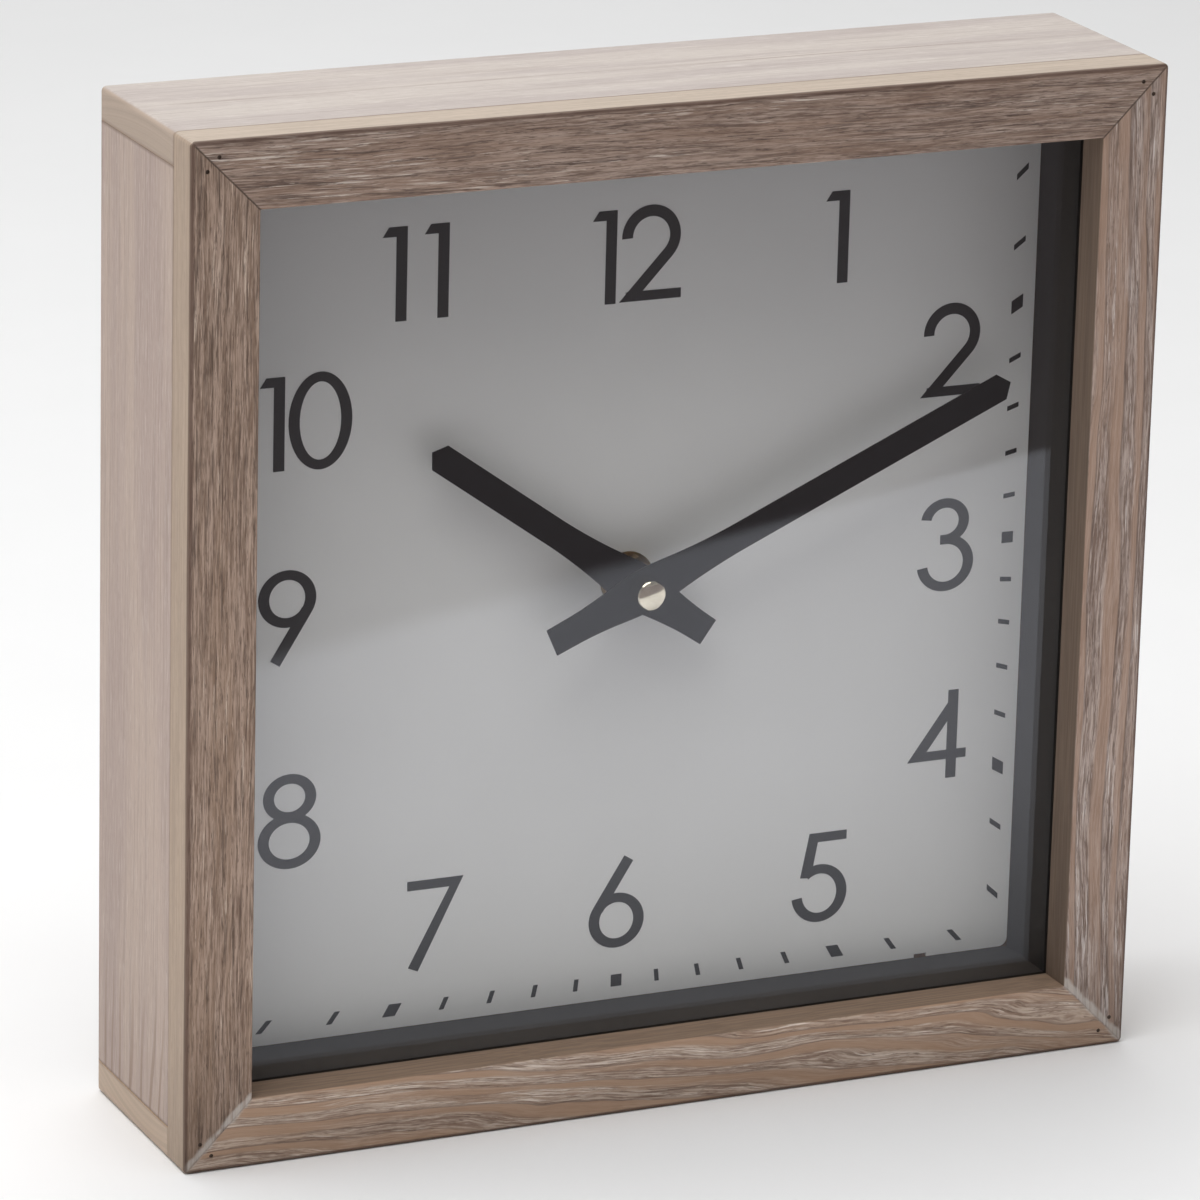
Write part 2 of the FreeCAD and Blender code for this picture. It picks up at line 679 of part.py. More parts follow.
def hand_outline(length, tail):
    """Half outline: straight tail, swelling hub with a concave flank, blade, house tip."""
    blade = BLADE_W / 2
    hub = HUB_W / 2
    flank = [V(-16.5, 0, 3.2), V(-12.0, 0, 3.5), V(-8.0, 0, 3.97), V(-4.0, 0, 4.55),
             V(-0.5, 0, hub), V(2.5, 0, 4.75), V(6.0, 0, 4.38), V(10.0, 0, 3.88),
             V(14.0, 0, 3.5), V(18.0, 0, 3.24), V(23.0, 0, blade)]
    curve = Part.BSplineCurve()
    curve.interpolate(flank)
    upper = [Part.makeLine(V(-tail, 0, TAIL_W / 2), flank[0]), curve.toShape(),
             Part.makeLine(flank[-1], V(length - TIP_LEN, 0, blade)),
             Part.makeLine(V(length - TIP_LEN, 0, blade), V(length, 0, 0))]
    lower = [edge.mirror(V(0, 0, 0), V(0, 0, 1)) for edge in upper]
    end = Part.makeLine(V(-tail, 0, -TAIL_W / 2), V(-tail, 0, TAIL_W / 2))
    wire = Part.Wire(Part.__sortEdges__(upper + lower + [end]))
    return Part.Face(wire)


def hand(length, tail, depth, degrees, hole_r):
    """Thin sheet hand with its length turned to an angle clockwise from twelve."""
    sheet = hand_outline(length, tail).extrude(V(0, HAND_T, 0))
    sheet.translate(V(0, at(depth), HALF))
    sheet = turn(sheet, CENTRE, degrees - 90.0)
    return sheet.cut(rod(CENTRE, hole_r, depth - 1, depth + HAND_T + 1))


def make_hands():
    hour = hand(HOUR_LEN, HOUR_TAIL, HOUR_HAND_DEPTH, HOUR_DEG, TUBE_R)
    collet = tube(CENTRE, HUB_R, TUBE_R, HOUR_HAND_DEPTH + HAND_T, HOUR_HAND_DEPTH + 1.4)
    save(union([hour, collet]), "hour_hand")
    minute = hand(MINUTE_LEN, MINUTE_TAIL, MINUTE_HAND_DEPTH, MINUTE_DEG, ARBOR_TOP_R)
    save(minute, "minute_hand")
    save(cap_nut(), "cap_nut")
    save(minute_arbor(), "minute_arbor")
    save(clutch_spring(), "clutch_spring")


def cap_nut():
    """Closed round nut with a domed face, screwed on the arbor's end."""
    apex = V(0, at(CAP_FRONT), HALF)
    flank = V(CAP_R / 2, at(CAP_FRONT + CAP_DOME / 4), HALF)
    rim = V(CAP_R - CAP_BEVEL, at(CAP_FRONT + CAP_DOME), HALF)
    side = V(CAP_R, at(CAP_FRONT + CAP_DOME + CAP_BEVEL), HALF)
    foot = V(CAP_R, at(MINUTE_HAND_DEPTH), HALF)
    heel = V(0, at(MINUTE_HAND_DEPTH), HALF)
    crown = Part.Arc(apex, flank, rim).toShape()
    profile = Part.Wire([crown, *Part.makePolygon([rim, side, foot, heel, apex]).Edges])
    body = Part.Face(profile).revolve(V(0, 0, HALF), V(0, 1, 0), 360)
    return body.cut(rod(CENTRE, ARBOR_TOP_R, ARBOR_END, MINUTE_HAND_DEPTH + 1))


def minute_arbor():
    """Arbor with the cannon pinion, a flange for the clutch and a threaded end."""
    pinion = gear(CENTRE, CANNON_T, M_MOTION, L_CANNON, PHASE_CANNON, 0.0, TOOTH_PINION)
    shoulder = MINUTE_HAND_DEPTH + HAND_T
    pieces = [
        pinion,
        rod(CENTRE, ARBOR_TOP_R, ARBOR_END, shoulder),
        rod(CENTRE, ARBOR_R, shoulder, CAVITY + L_CANNON[0]),
        layer_rod(CENTRE, 1.9, L_CANNON[1], 3.8),
        layer_rod(CENTRE, 1.2, 3.8, 5.3),
        layer_rod(CENTRE, 1.7, 5.3, 5.7),
        layer_rod(CENTRE, 0.8, 5.7, PLATE_AT - 0.15),
        layer_rod(CENTRE, PIVOT_R, PLATE_AT - 0.15, PLATE_AT + PLATE_T),
    ]
    return union(pieces)


def clutch_spring():
    """Brass spring washer that presses the clutch wheel against the arbor."""
    dish = cone(CENTRE, 1.9, 3.4, CAVITY + 3.85, CAVITY + 4.3)
    hollow = cone(CENTRE, 1.6, 3.1, CAVITY + 3.85, CAVITY + 4.3)
    seat = tube(CENTRE, 1.9, 1.2, CAVITY + 3.8, CAVITY + 3.95)
    ring = dish.cut(hollow).fuse(seat)
    slots = []
    for k in range(3):
        slot = block(1.95, 4.0, CAVITY + 3.7, CAVITY + 4.5, -0.4, 0.4)
        slots.append(turn(slot, CENTRE, 120.0 * k))
    return ring.cut(slots).removeSplitter()


# ---------------------------------------------------------------- movement

def pivot_holes(spots):
    return [layer_rod(spot, PIVOT_HOLE_R, -PIVOT_DEEP, 0.6) for spot in spots]


def movement_case():
    """Front half: shell with a battery bay, posts, pivot bosses and the threaded bushing."""
    m = MOVE_HALF
    inner = m - WALL
    shell = block(-m, m, MOVE_FRONT, COVER_FRONT, -m, m)
    upright = [e for e in shell.Edges if near(e.BoundBox.YLength, COVER_FRONT - MOVE_FRONT)]
    shell = shell.makeFillet(2.5, upright)
    train_room = block(-inner, inner, CAVITY, COVER_FRONT + 1, DIVIDER_TOP, inner)
    bay = block(-inner, inner, CAVITY, COVER_FRONT + 1, -inner, DIVIDER_TOP - WALL)
    thumb = block(-8, 8, CAVITY + 6.0, COVER_FRONT + 1, -m - 1, -inner + 1)
    shell = shell.cut([train_room, bay, thumb])
    bush = rod(CENTRE, BUSH_R, BUSH_END, MOVE_FRONT + 0.5)
    rim = edges_where(bush, lambda p: near(p.y, at(BUSH_END)))
    bush = bush.makeChamfer(0.4, rim)
    posts = [layer_rod(spot, POST_R, -0.1, PLATE_AT) for spot in POSTS]
    pegs = [layer_rod(spot, 0.7, PLATE_AT - 0.1, PLATE_AT + PLATE_T + 0.3) for spot in POSTS]
    arbors = (THIRD, SECONDS, INTERMEDIATE, ROTOR, KNOB)
    bosses = [layer_rod(spot, 1.3, -0.1, 0.35) for spot in arbors]
    stud = layer_rod(MOTION, 0.6, -0.1, 3.6)
    body = union([shell, bush, stud] + posts + pegs + bosses)
    body = body.cut([rod(CENTRE, BUSH_BORE, BUSH_END - 1, CAVITY + 0.3)])
    return body.cut(pivot_holes(arbors))


def movement_cover():
    """Rear half: plate over the train with a hanging loop and a ring round the knob."""
    m = MOVE_HALF
    plate = block(-m, m, COVER_FRONT, MOVE_BACK, DIVIDER_TOP - WALL, m)
    loop = block(-7, 7, COVER_FRONT, MOVE_BACK, m - 1, m + 5)
    lobe = rod((0, m + 5), 7, COVER_FRONT, MOVE_BACK)
    ring = tube(KNOB, 6.6, 6.0, MOVE_BACK - 0.1, MOVE_BACK + 0.5)
    ribs = []
    for k in range(5):
        x = -23.0 + 5.0 * k
        ribs.append(block(x, x + 1.2, MOVE_BACK - 0.1, MOVE_BACK + 0.4, -6.0, 22.0))
    lip = block(-26.0, 26.0, COVER_FRONT - 0.8, COVER_FRONT + 0.1, 24.6, 26.0)
    body = union([plate, loop, lobe, ring, lip] + ribs)
    holes = [rod(KNOB, 1.1, COVER_FRONT - 1, MOVE_BACK + 1),
             rod((0, m + 5.5), 2.6, COVER_FRONT - 1, MOVE_BACK + 1)]
    return body.cut(holes)


def train_plate():
    """Middle plate that carries the rear pivots."""
    plate = block(-26.4, 26.4, CAVITY + PLATE_AT, CAVITY + PLATE_AT + PLATE_T, -9.8, 24.4)
    window = block(-26.0, -14.5, CAVITY + PLATE_AT - 1, CAVITY + PLATE_AT + 2, -4.0, 22.5)
    holes = [rod(spot, 0.75, CAVITY + PLATE_AT - 1, CAVITY + PLATE_AT + 2) for spot in POSTS]
    for spot in (THIRD, SECONDS, INTERMEDIATE, ROTOR, CENTRE):
        holes.append(rod(spot, PIVOT_HOLE_R, CAVITY + PLATE_AT - 1, CAVITY + PLATE_AT + 2))
    holes.append(rod(KNOB, 1.06, CAVITY + PLATE_AT - 1, CAVITY + PLATE_AT + 2))
    return plate.cut([window] + holes)


def bushing_nut():
    corner_r = NUT_FLATS / 2 / math.cos(math.radians(30))
    points = [polar(CENTRE, corner_r, 60.0 * k + 15.0) for k in range(6)]
    back = DIAL_DEPTH - WASHER_T
    body = prism(points, back - NUT_T, back)
    return body.cut(rod(CENTRE, BUSH_R + 0.05, back - NUT_T - 1, back + 1))


def make_coil_and_board():
    """Stepping motor stator, coil and the circuit board that drives it."""
    rx, rz = ROTOR
    arms = [
        block(-23.0, -20.0, CAVITY + L_STATOR[0], CAVITY + L_STATOR[1], 1.5, 25.5),
        block(-23.0, rx + 3.4, CAVITY + L_STATOR[0], CAVITY + L_STATOR[1], 22.9, 25.5),
        block(-23.0, rx + 3.4, CAVITY + L_STATOR[0], CAVITY + L_STATOR[1], 1.5, 4.5),
        block(rx - 3.4, rx + 3.4, CAVITY + L_STATOR[0], CAVITY + L_STATOR[1], 1.5, 25.5),
        layer_rod(ROTOR, 4.6, *L_STATOR),
    ]
    gaps = [block(rx - 0.3, rx + 0.3, CAVITY, CAVITY + 9, rz + 3.4, rz + 4.2),
            block(rx - 0.3, rx + 0.3, CAVITY, CAVITY + 9, rz - 4.2, rz - 3.4)]
    stator = union(arms).cut([layer_rod(ROTOR, 3.5, 5, 8)] + gaps)
    save(stator, "stator")
    core = block(-23.7, -19.3, CAVITY + 4.8, CAVITY + 7.7, 5.0, 22.4)
    cheeks = [block(-25.8, -17.2, CAVITY + 2.6, CAVITY + 9.9, z, z + 0.8) for z in (5.0, 21.6)]
    bar = block(-23.0, -20.0, CAVITY + L_STATOR[0], CAVITY + L_STATOR[1], 0, 28)
    save(union([core] + cheeks).cut(bar), "coil_bobbin")
    winding = block(-25.2, -17.8, CAVITY + 3.2, CAVITY + 9.3, 5.8, 21.6)
    long_edges = [e for e in winding.Edges if near(e.BoundBox.ZLength, 15.8)]
    winding = winding.makeFillet(1.8, long_edges)
    inside = block(-23.7, -19.3, CAVITY + 4.8, CAVITY + 7.7, 0, 28)
    save(winding.cut(inside), "coil_winding")
    save(block(14.2, 26.0, CAVITY + 0.4, CAVITY + 1.4, 7.0, 22.0), "circuit_board")
    save(layer_lying((16.0, 10.0), 1.0, 6.2), "quartz_crystal")
    save(cone((20.5, 17.0), 2.7, 1.6, CAVITY + 1.4, CAVITY + 2.4), "chip_cap")


def layer_lying(spot, radius, length):
    """Small cylinder lying on the circuit board, along X."""
    place = V(spot[0], at(CAVITY + 1.4 + radius), HALF + spot[1])
    return Part.makeCylinder(radius, length, place, V(1, 0, 0))


def make_battery():
    left = CELL_RIGHT - CELL_LEN
    place = V(left, at(CELL_DEPTH), HALF + CELL_Z)
    can = Part.makeCylinder(CELL_R - SLEEVE_T, CELL_LEN, place, V(1, 0, 0))
    nub_at = V(CELL_RIGHT, at(CELL_DEPTH), HALF + CELL_Z)
    nub = Part.makeCylinder(NUB_R, NUB_LEN, nub_at, V(1, 0, 0))
    save(can.fuse(nub).removeSplitter(), "battery_can")
    start = V(left + 0.4, at(CELL_DEPTH), HALF + CELL_Z)
    outer = Part.makeCylinder(CELL_R, CELL_LEN - 0.8, start, V(1, 0, 0))
    hole = Part.makeCylinder(CELL_R - SLEEVE_T, CELL_LEN, place, V(1, 0, 0))
    save(outer.cut(hole), "battery_sleeve")


def make_contacts():
    """Bent strip contacts at the ends of the bay, each with a leg on the wall."""
    inner = MOVE_HALF - WALL
    plus = block(inner - 0.4, inner, CAVITY + 1.0, CAVITY + 13.0, CELL_Z - 4, CELL_Z + 4)
    save(plus, "contact_plus")
    leg = block(-inner, -inner + 0.4, CAVITY + 1.0, CAVITY + 13.0, CELL_Z - 4, CELL_Z + 4)
    spring = []
    for k in range(3):
        x = -inner + 0.4
        spring.append(block(x, x + 1.6 - 0.4 * k, CELL_DEPTH - 3.0 + 1.0 * k,
                            CELL_DEPTH + 3.0 - 1.0 * k, CELL_Z - 3 + 0.5 * k, CELL_Z + 3 - 0.5 * k))
    save(union([leg] + spring), "contact_minus")


def make_movement():
    save(movement_case(), "movement_case")
    save(movement_cover(), "movement_cover")
    save(train_plate(), "train_plate")
    save(bushing_nut(), "bushing_nut")
    save(tube(CENTRE, WASHER_R, BUSH_R + 0.15, DIAL_DEPTH - WASHER_T, DIAL_DEPTH), "dial_washer")
    save(tube(CENTRE, 9.0, BUSH_R + 0.2, DIAL_BACK, MOVE_FRONT), "rubber_washer")


def main():
    os.makedirs("parts", exist_ok=True)
    make_case()
    make_hanger()
    make_window()
    make_dial()
    make_movement()
    make_motion_work()
    make_train()
    make_hands()
    make_coil_and_board()
    make_contacts()
    make_battery()


main()
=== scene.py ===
import math

import bpy
from mathutils import Matrix, Vector


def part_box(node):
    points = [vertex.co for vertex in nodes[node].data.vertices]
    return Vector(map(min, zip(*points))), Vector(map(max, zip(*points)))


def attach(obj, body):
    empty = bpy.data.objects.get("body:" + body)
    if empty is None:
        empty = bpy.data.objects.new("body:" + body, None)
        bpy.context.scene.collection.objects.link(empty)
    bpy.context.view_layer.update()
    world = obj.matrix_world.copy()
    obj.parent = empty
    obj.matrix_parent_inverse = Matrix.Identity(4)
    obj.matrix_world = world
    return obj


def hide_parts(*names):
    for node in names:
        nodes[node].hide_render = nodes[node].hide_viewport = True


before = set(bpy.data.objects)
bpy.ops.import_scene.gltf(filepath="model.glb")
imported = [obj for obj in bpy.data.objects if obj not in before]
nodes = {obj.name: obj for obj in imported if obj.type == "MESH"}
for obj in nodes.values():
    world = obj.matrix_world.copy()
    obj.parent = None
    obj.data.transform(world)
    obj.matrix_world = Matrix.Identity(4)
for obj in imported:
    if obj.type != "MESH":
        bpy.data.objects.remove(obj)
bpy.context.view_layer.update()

# The scene is in metres, in the record's frame. Patterns are laid out in millimetres.
MM = 0.001
HALF = 110.0        # half the case's width, and half its height
CENTRE_Z = 110.0    # height of the dial's centre
FRONT_Y = -26.0     # front face of the rails
SEAM_Y = -16.2      # joint between the rails and the boards behind them
BOARD_IN = 102.9    # inner face of the boards, from the dial's centre

# Sockets of a colour Mix node, which share one name between data types
MIX_SHARE, MIX_A, MIX_B, MIX_RESULT = 0, 6, 7, 2


def tone(red, green, blue):
    """Colour from 0-255 display values."""
    found = []
    for value in (red, green, blue):
        share = value / 255
        found.append(share / 12.92 if share <= 0.04045 else ((share + 0.055) / 1.055) ** 2.4)
    return (*found, 1.0)


class Shade:
    """One procedural material, with short names for the nodes that it is built from."""

    def __init__(self, name):
        self.material = bpy.data.materials.new(name)
        self.material.use_nodes = True
        self.tree = self.material.node_tree
        self.tree.nodes.clear()
        self.where = self.tree.nodes.new("ShaderNodeTexCoord")
        scaled = self.tree.nodes.new("ShaderNodeVectorMath")
        scaled.operation = "SCALE"
        scaled.inputs["Scale"].default_value = 1 / MM
        self.tree.links.new(self.where.outputs["Object"], scaled.inputs[0])
        self.place = scaled.outputs[0]
        self.x, self.y, self.z = self.split(self.place)
        self.nx, self.ny, self.nz = self.split(self.where.outputs["Normal"])

    def put(self, socket, value):
        if isinstance(value, bpy.types.NodeSocket):
            self.tree.links.new(value, socket)
        else:
            socket.default_value = value

    def split(self, vector):
        made = self.tree.nodes.new("ShaderNodeSeparateXYZ")
        self.tree.links.new(vector, made.inputs[0])
        return made.outputs[0], made.outputs[1], made.outputs[2]

    def vector(self, x, y, z):
        made = self.tree.nodes.new("ShaderNodeCombineXYZ")
        for socket, value in zip(made.inputs, (x, y, z)):
            self.put(socket, value)
        return made.outputs[0]

    def math(self, operation, *values):
        made = self.tree.nodes.new("ShaderNodeMath")
        made.operation = operation
        for socket, value in zip(made.inputs, values):
            self.put(socket, value)
        return made.outputs[0]

    def add(self, a, b):
        return self.math("ADD", a, b)

    def times(self, a, b):
        return self.math("MULTIPLY", a, b)

    def absolute(self, value):
        return self.math("ABSOLUTE", value)

    def rest(self, value):
        """What is left of 1."""
        return self.math("SUBTRACT", 1.0, value)

    def noise(self, vector, scale=1.0, detail=2.0, roughness=0.5, distortion=0.0):
        made = self.tree.nodes.new("ShaderNodeTexNoise")
        self.put(made.inputs["Vector"], vector)
        made.inputs["Scale"].default_value = scale
        made.inputs["Detail"].default_value = detail
        made.inputs["Roughness"].default_value = roughness
        made.inputs["Distortion"].default_value = distortion
        return made.outputs[0]

    def step(self, value, low, high, start=0.0, end=1.0):
        """Smooth step from start, at low, to end, at high."""
        made = self.tree.nodes.new("ShaderNodeMapRange")
        made.interpolation_type = "SMOOTHSTEP"
        for key, number in (("Value", value), ("From Min", low), ("From Max", high),
                            ("To Min", start), ("To Max", end)):
            self.put(made.inputs[key], number)
        return made.outputs[0]

    def mix(self, share, a, b):
        """Colour a where the share is 0, b where it is 1."""
        made = self.tree.nodes.new("ShaderNodeMix")
        made.data_type = "RGBA"
        self.put(made.inputs[MIX_SHARE], share)
        self.put(made.inputs[MIX_A], a)
        self.put(made.inputs[MIX_B], b)
        return made.outputs[MIX_RESULT]

    def bump(self, height, depth_mm, strength=1.0):
        made = self.tree.nodes.new("ShaderNodeBump")
        made.inputs["Strength"].default_value = strength
        made.inputs["Distance"].default_value = depth_mm * MM
        self.put(made.inputs["Height"], height)
        return made.outputs[0]

    def done(self, colour, roughness, normal=None, **constants):
        """Ends the material in one Principled shader."""
        shader = self.tree.nodes.new("ShaderNodeBsdfPrincipled")
        self.put(shader.inputs["Base Color"], colour)
        self.put(shader.inputs["Roughness"], roughness)
        if normal is not None:
            self.put(shader.inputs["Normal"], normal)
        for key, value in constants.items():
            shader.inputs[key.replace("_", " ")].default_value = value
        made = self.tree.nodes.new("ShaderNodeOutputMaterial")
        self.tree.links.new(shader.outputs[0], made.inputs[0])
        return self.material


def wear(material, *names):
    """Gives CAD nodes a material."""
    for name in names:
        mesh = nodes[name].data
        mesh.materials.clear()
        mesh.materials.append(material)


# ------------------------------------------------------------------ wood

# Front rails: brushed and lime-washed. Colours are in display values, lengths in millimetres.
# "lean" and "warp" tilt and bend the grain, "bands" is how strongly the broad growth bands show,
# "period" is their width, "patchy" is how far the colour wanders, and "pale" is where a stretch
# of thicker lime lies and how far it spreads.
RAILS = {
    "top": dict(
        seed=3.0, lean=0.010, warp=1.6, low=(102, 82, 71), high=(154, 135, 123),
        smooth=(135, 109, 92), lime=(192, 180, 170), dark=(75, 59, 52), edge=(186, 171, 156),
        inner=(112, 92, 78), lime_from=0.60, bands=0.25, period=3.2, patchy=0.25,
        pale=(-88.0, 34.0),
    ),
    "right": dict(
        seed=17.0, lean=0.004, warp=3.6, low=(111, 91, 80), high=(165, 149, 140),
        smooth=(149, 122, 104), lime=(196, 186, 181), dark=(94, 76, 67), edge=(180, 162, 144),
        inner=(120, 102, 88), lime_from=0.575, bands=0.8, period=5.2, patchy=0.4,
        pale=(-92.0, 26.0),
    ),
    "bottom": dict(
        seed=31.0, lean=0.095, warp=8.0, low=(141, 116, 100), high=(203, 184, 168),
        smooth=(173, 141, 116), lime=(233, 220, 209), dark=(119, 96, 81), edge=(180, 162, 144),
        inner=(150, 126, 106), lime_from=0.57, bands=1.0, period=6.0, patchy=0.3,
        pale=(-30.0, 26.0),
    ),
    "left": dict(
        seed=47.0, lean=-0.004, warp=1.4, low=(106, 85, 71), high=(159, 137, 122),
        smooth=(136, 111, 91), lime=(189, 171, 156), dark=(79, 62, 52), edge=(180, 160, 142),
        inner=(128, 106, 88), lime_from=0.595, bands=0.15, period=3.4, patchy=0.25,
        pale=(80.0, 26.0),
    ),
}


def rail_wood(side, look):
    """Brushed rail: streaks along the grain, smooth edge strip and return, mitre lines."""
    s = Shade("rail_wood_" + side)
    upright = side in ("left", "right")
    height = s.add(s.z, -CENTRE_Z)
    along, across = (height, s.x) if upright else (s.x, height)
    seed = look["seed"]
    slow = s.noise(s.vector(s.times(along, 0.011), s.times(across, 0.05), seed), detail=2.0)
    sway = s.noise(s.vector(s.times(along, 0.045), s.times(across, 0.12), seed + 9), detail=2.0)
    bend = s.add(s.times(s.add(slow, -0.5), look["warp"] * 2), s.times(sway, look["warp"] * 0.4))
    level = s.add(s.add(across, s.times(along, look["lean"])), bend)
    deep = s.times(s.y, 1.6)

    def streaks(per_along, per_across, offset, detail=3.0, rough=0.6):
        point = s.vector(s.times(along, per_along), s.times(level, per_across),
                         s.add(deep, seed + offset))
        return s.noise(point, detail=detail, roughness=rough)

    # growth bands: a smooth tan half, ended by a thin dark line, then an open-pored half
    uneven = s.noise(s.vector(s.times(along, 0.006), s.times(level, 0.16), seed + 5))
    turns = s.add(s.times(level, 1 / look["period"]), s.times(uneven, 1.4))
    saw = s.math("FRACT", turns)
    smooth = s.times(s.step(saw, 0.0, 0.22), s.step(saw, 0.50, 0.54, 1.0, 0.0))
    rim = s.times(s.step(saw, 0.48, 0.53), s.step(saw, 0.53, 0.62, 1.0, 0.0))
    held = s.step(streaks(0.02, 0.2, 20.0, 2.0), 0.36, 0.56, 0.55, 1.0)
    smooth = s.times(s.times(smooth, held), look["bands"])
    rim = s.times(s.times(rim, held), look["bands"])
    open_pored = s.rest(smooth)

    tint = streaks(0.012, 0.16, 0.0, 2.0)
    patches = streaks(0.030, 0.22, 40.0, 2.0)
    brushed = streaks(0.09, 2.7, 60.0, 4.0, 0.6)
    fine = streaks(0.10, 2.3, 80.0, 4.0, 0.65)
    grooves = streaks(0.075, 1.7, 120.0, 4.0, 0.6)
    fibres = streaks(0.34, 5.0, 160.0, 2.0)
    pores = streaks(0.34, 3.6, 200.0, 2.0)

    shade = s.add(s.add(brushed, s.times(s.add(patches, -0.5), look["patchy"])),
                  s.times(s.add(fibres, -0.5), 0.6))
    colour = s.mix(s.step(shade, 0.30, 0.70), tone(*look["low"]), tone(*look["high"]))
    colour = s.mix(s.step(tint, 0.46, 0.66, 0.0, 0.35), colour, tone(*look["smooth"]))
    colour = s.mix(s.times(smooth, 0.85), colour, tone(*look["smooth"]))
    where, spread = look["pale"]
    pale = s.step(s.absolute(s.add(along, -where)), 0.0, spread, 0.06, 0.0)
    low = look["lime_from"]
    lift = s.add(s.times(s.add(patches, -0.5), 0.35), pale)
    lime = s.times(s.step(s.add(fine, lift), low, low + 0.13), open_pored)
    dark = s.times(s.step(grooves, 0.34, 0.46, 1.0, 0.0), open_pored)
    colour = s.mix(s.times(dark, 0.65), colour, tone(*look["dark"]))
    colour = s.mix(s.times(lime, 0.8), colour, tone(*look["lime"]))
    speck = s.times(s.step(pores, 0.33, 0.40, 1.0, 0.0), open_pored)
    colour = s.mix(s.times(speck, 0.6), colour, tone(*look["dark"]))
    colour = s.mix(s.times(rim, 0.65), colour, tone(*look["dark"]))

    # mitres: a dark line at the top corners, pale filler at the bottom ones
    signed = s.math("SUBTRACT", s.absolute(s.x), s.absolute(height))
    gap = s.absolute(signed)
    upper = s.step(height, -1.0, 1.0)
    line = s.times(s.step(gap, 0.1, 0.4, 1.0, 0.0), s.add(s.times(upper, 0.45), 0.2))
    ragged = s.noise(s.vector(s.times(s.x, 0.16), s.times(height, 0.16), 2.0), detail=2.0)
    worn_edge = s.noise(s.vector(s.times(s.x, 0.9), s.times(height, 0.9), 6.0), detail=3.0)
    wedge = s.add(s.absolute(s.add(signed, -0.9)), s.times(s.add(ragged, -0.5), 3.0))
    wedge = s.add(wedge, s.times(s.add(worn_edge, -0.5), 1.2))
    filler = s.times(s.step(wedge, 0.4, 1.7, 1.0, 0.0), s.rest(upper))
    colour = s.mix(s.times(filler, s.step(fine, 0.30, 0.55, 0.35, 0.75)), colour,
                   tone(196, 188, 181))
    colour = s.mix(line, colour, tone(70, 56, 50))

    # smooth outer edge strip and inner return
    facing = s.step(s.times(s.ny, -1.0), 0.35, 0.85)
    distance = s.absolute(across)
    outer = s.step(distance, HALF - 1.2, HALF - 0.6)
    sheen = streaks(0.03, 0.9, 240.0, 3.0)
    strip = s.mix(s.step(sheen, 0.35, 0.65), tone(*look["edge"]),
                  tone(*[v * 0.93 for v in look["edge"]]))
    strip = s.mix(s.step(fibres, 0.45, 0.7, 0.0, 0.35), strip,
                  tone(*[v * 0.86 for v in look["edge"]]))
    lip = s.mix(s.step(sheen, 0.35, 0.65), tone(*look["inner"]),
                tone(*[v * 0.88 for v in look["inner"]]))
    other = s.mix(outer, lip, strip)
    seam = s.times(s.step(s.y, SEAM_Y - 0.75, SEAM_Y - 0.1),
                   s.times(outer, s.step(height, -60.0, 30.0, 0.1, 0.4)))
    other = s.mix(seam, other, tone(120, 98, 82))
    colour = s.mix(facing, other, colour)
    arris = s.add(s.add(distance, -HALF), s.math("SUBTRACT", FRONT_Y, s.y))
    chafed = s.add(arris, s.times(s.add(patches, -0.5), 0.9))
    worn = s.step(chafed, -1.0, -0.6)
    colour = s.mix(s.times(worn, 0.75), colour, tone(84, 62, 52))

    relief = s.add(s.times(s.add(dark, speck), -0.6), s.times(fine, 0.9))
    relief = s.times(s.add(relief, s.times(line, -1.0)), facing)
    rough = s.step(fine, 0.3, 0.7, 0.62, 0.78)
    return s.done(colour, rough, s.bump(relief, 0.16, 0.7), Specular_IOR_Level=0.35)


# "figure" is where brown arched streaks show, and "crack" is a long thin line, both as a share.
BOARDS = {
    "top": dict(seed=61.0, base=(177, 167, 162), other=(188, 179, 172), line=(160, 147, 141),
                end=(182, 164, 149), figure=0.0, crack=0.5),
    "bottom": dict(seed=73.0, base=(176, 160, 152), other=(186, 170, 158), line=(158, 140, 132),
                   end=(198, 177, 158), figure=0.0, crack=0.0),
    "left": dict(seed=89.0, base=(177, 158, 149), other=(186, 167, 155), line=(152, 134, 126),
                 end=(186, 167, 152), figure=0.6, crack=0.0),
    "right": dict(seed=97.0, base=(177, 158, 149), other=(186, 167, 155), line=(152, 134, 126),
                  end=(186, 167, 152), figure=0.3, crack=0.0),
}


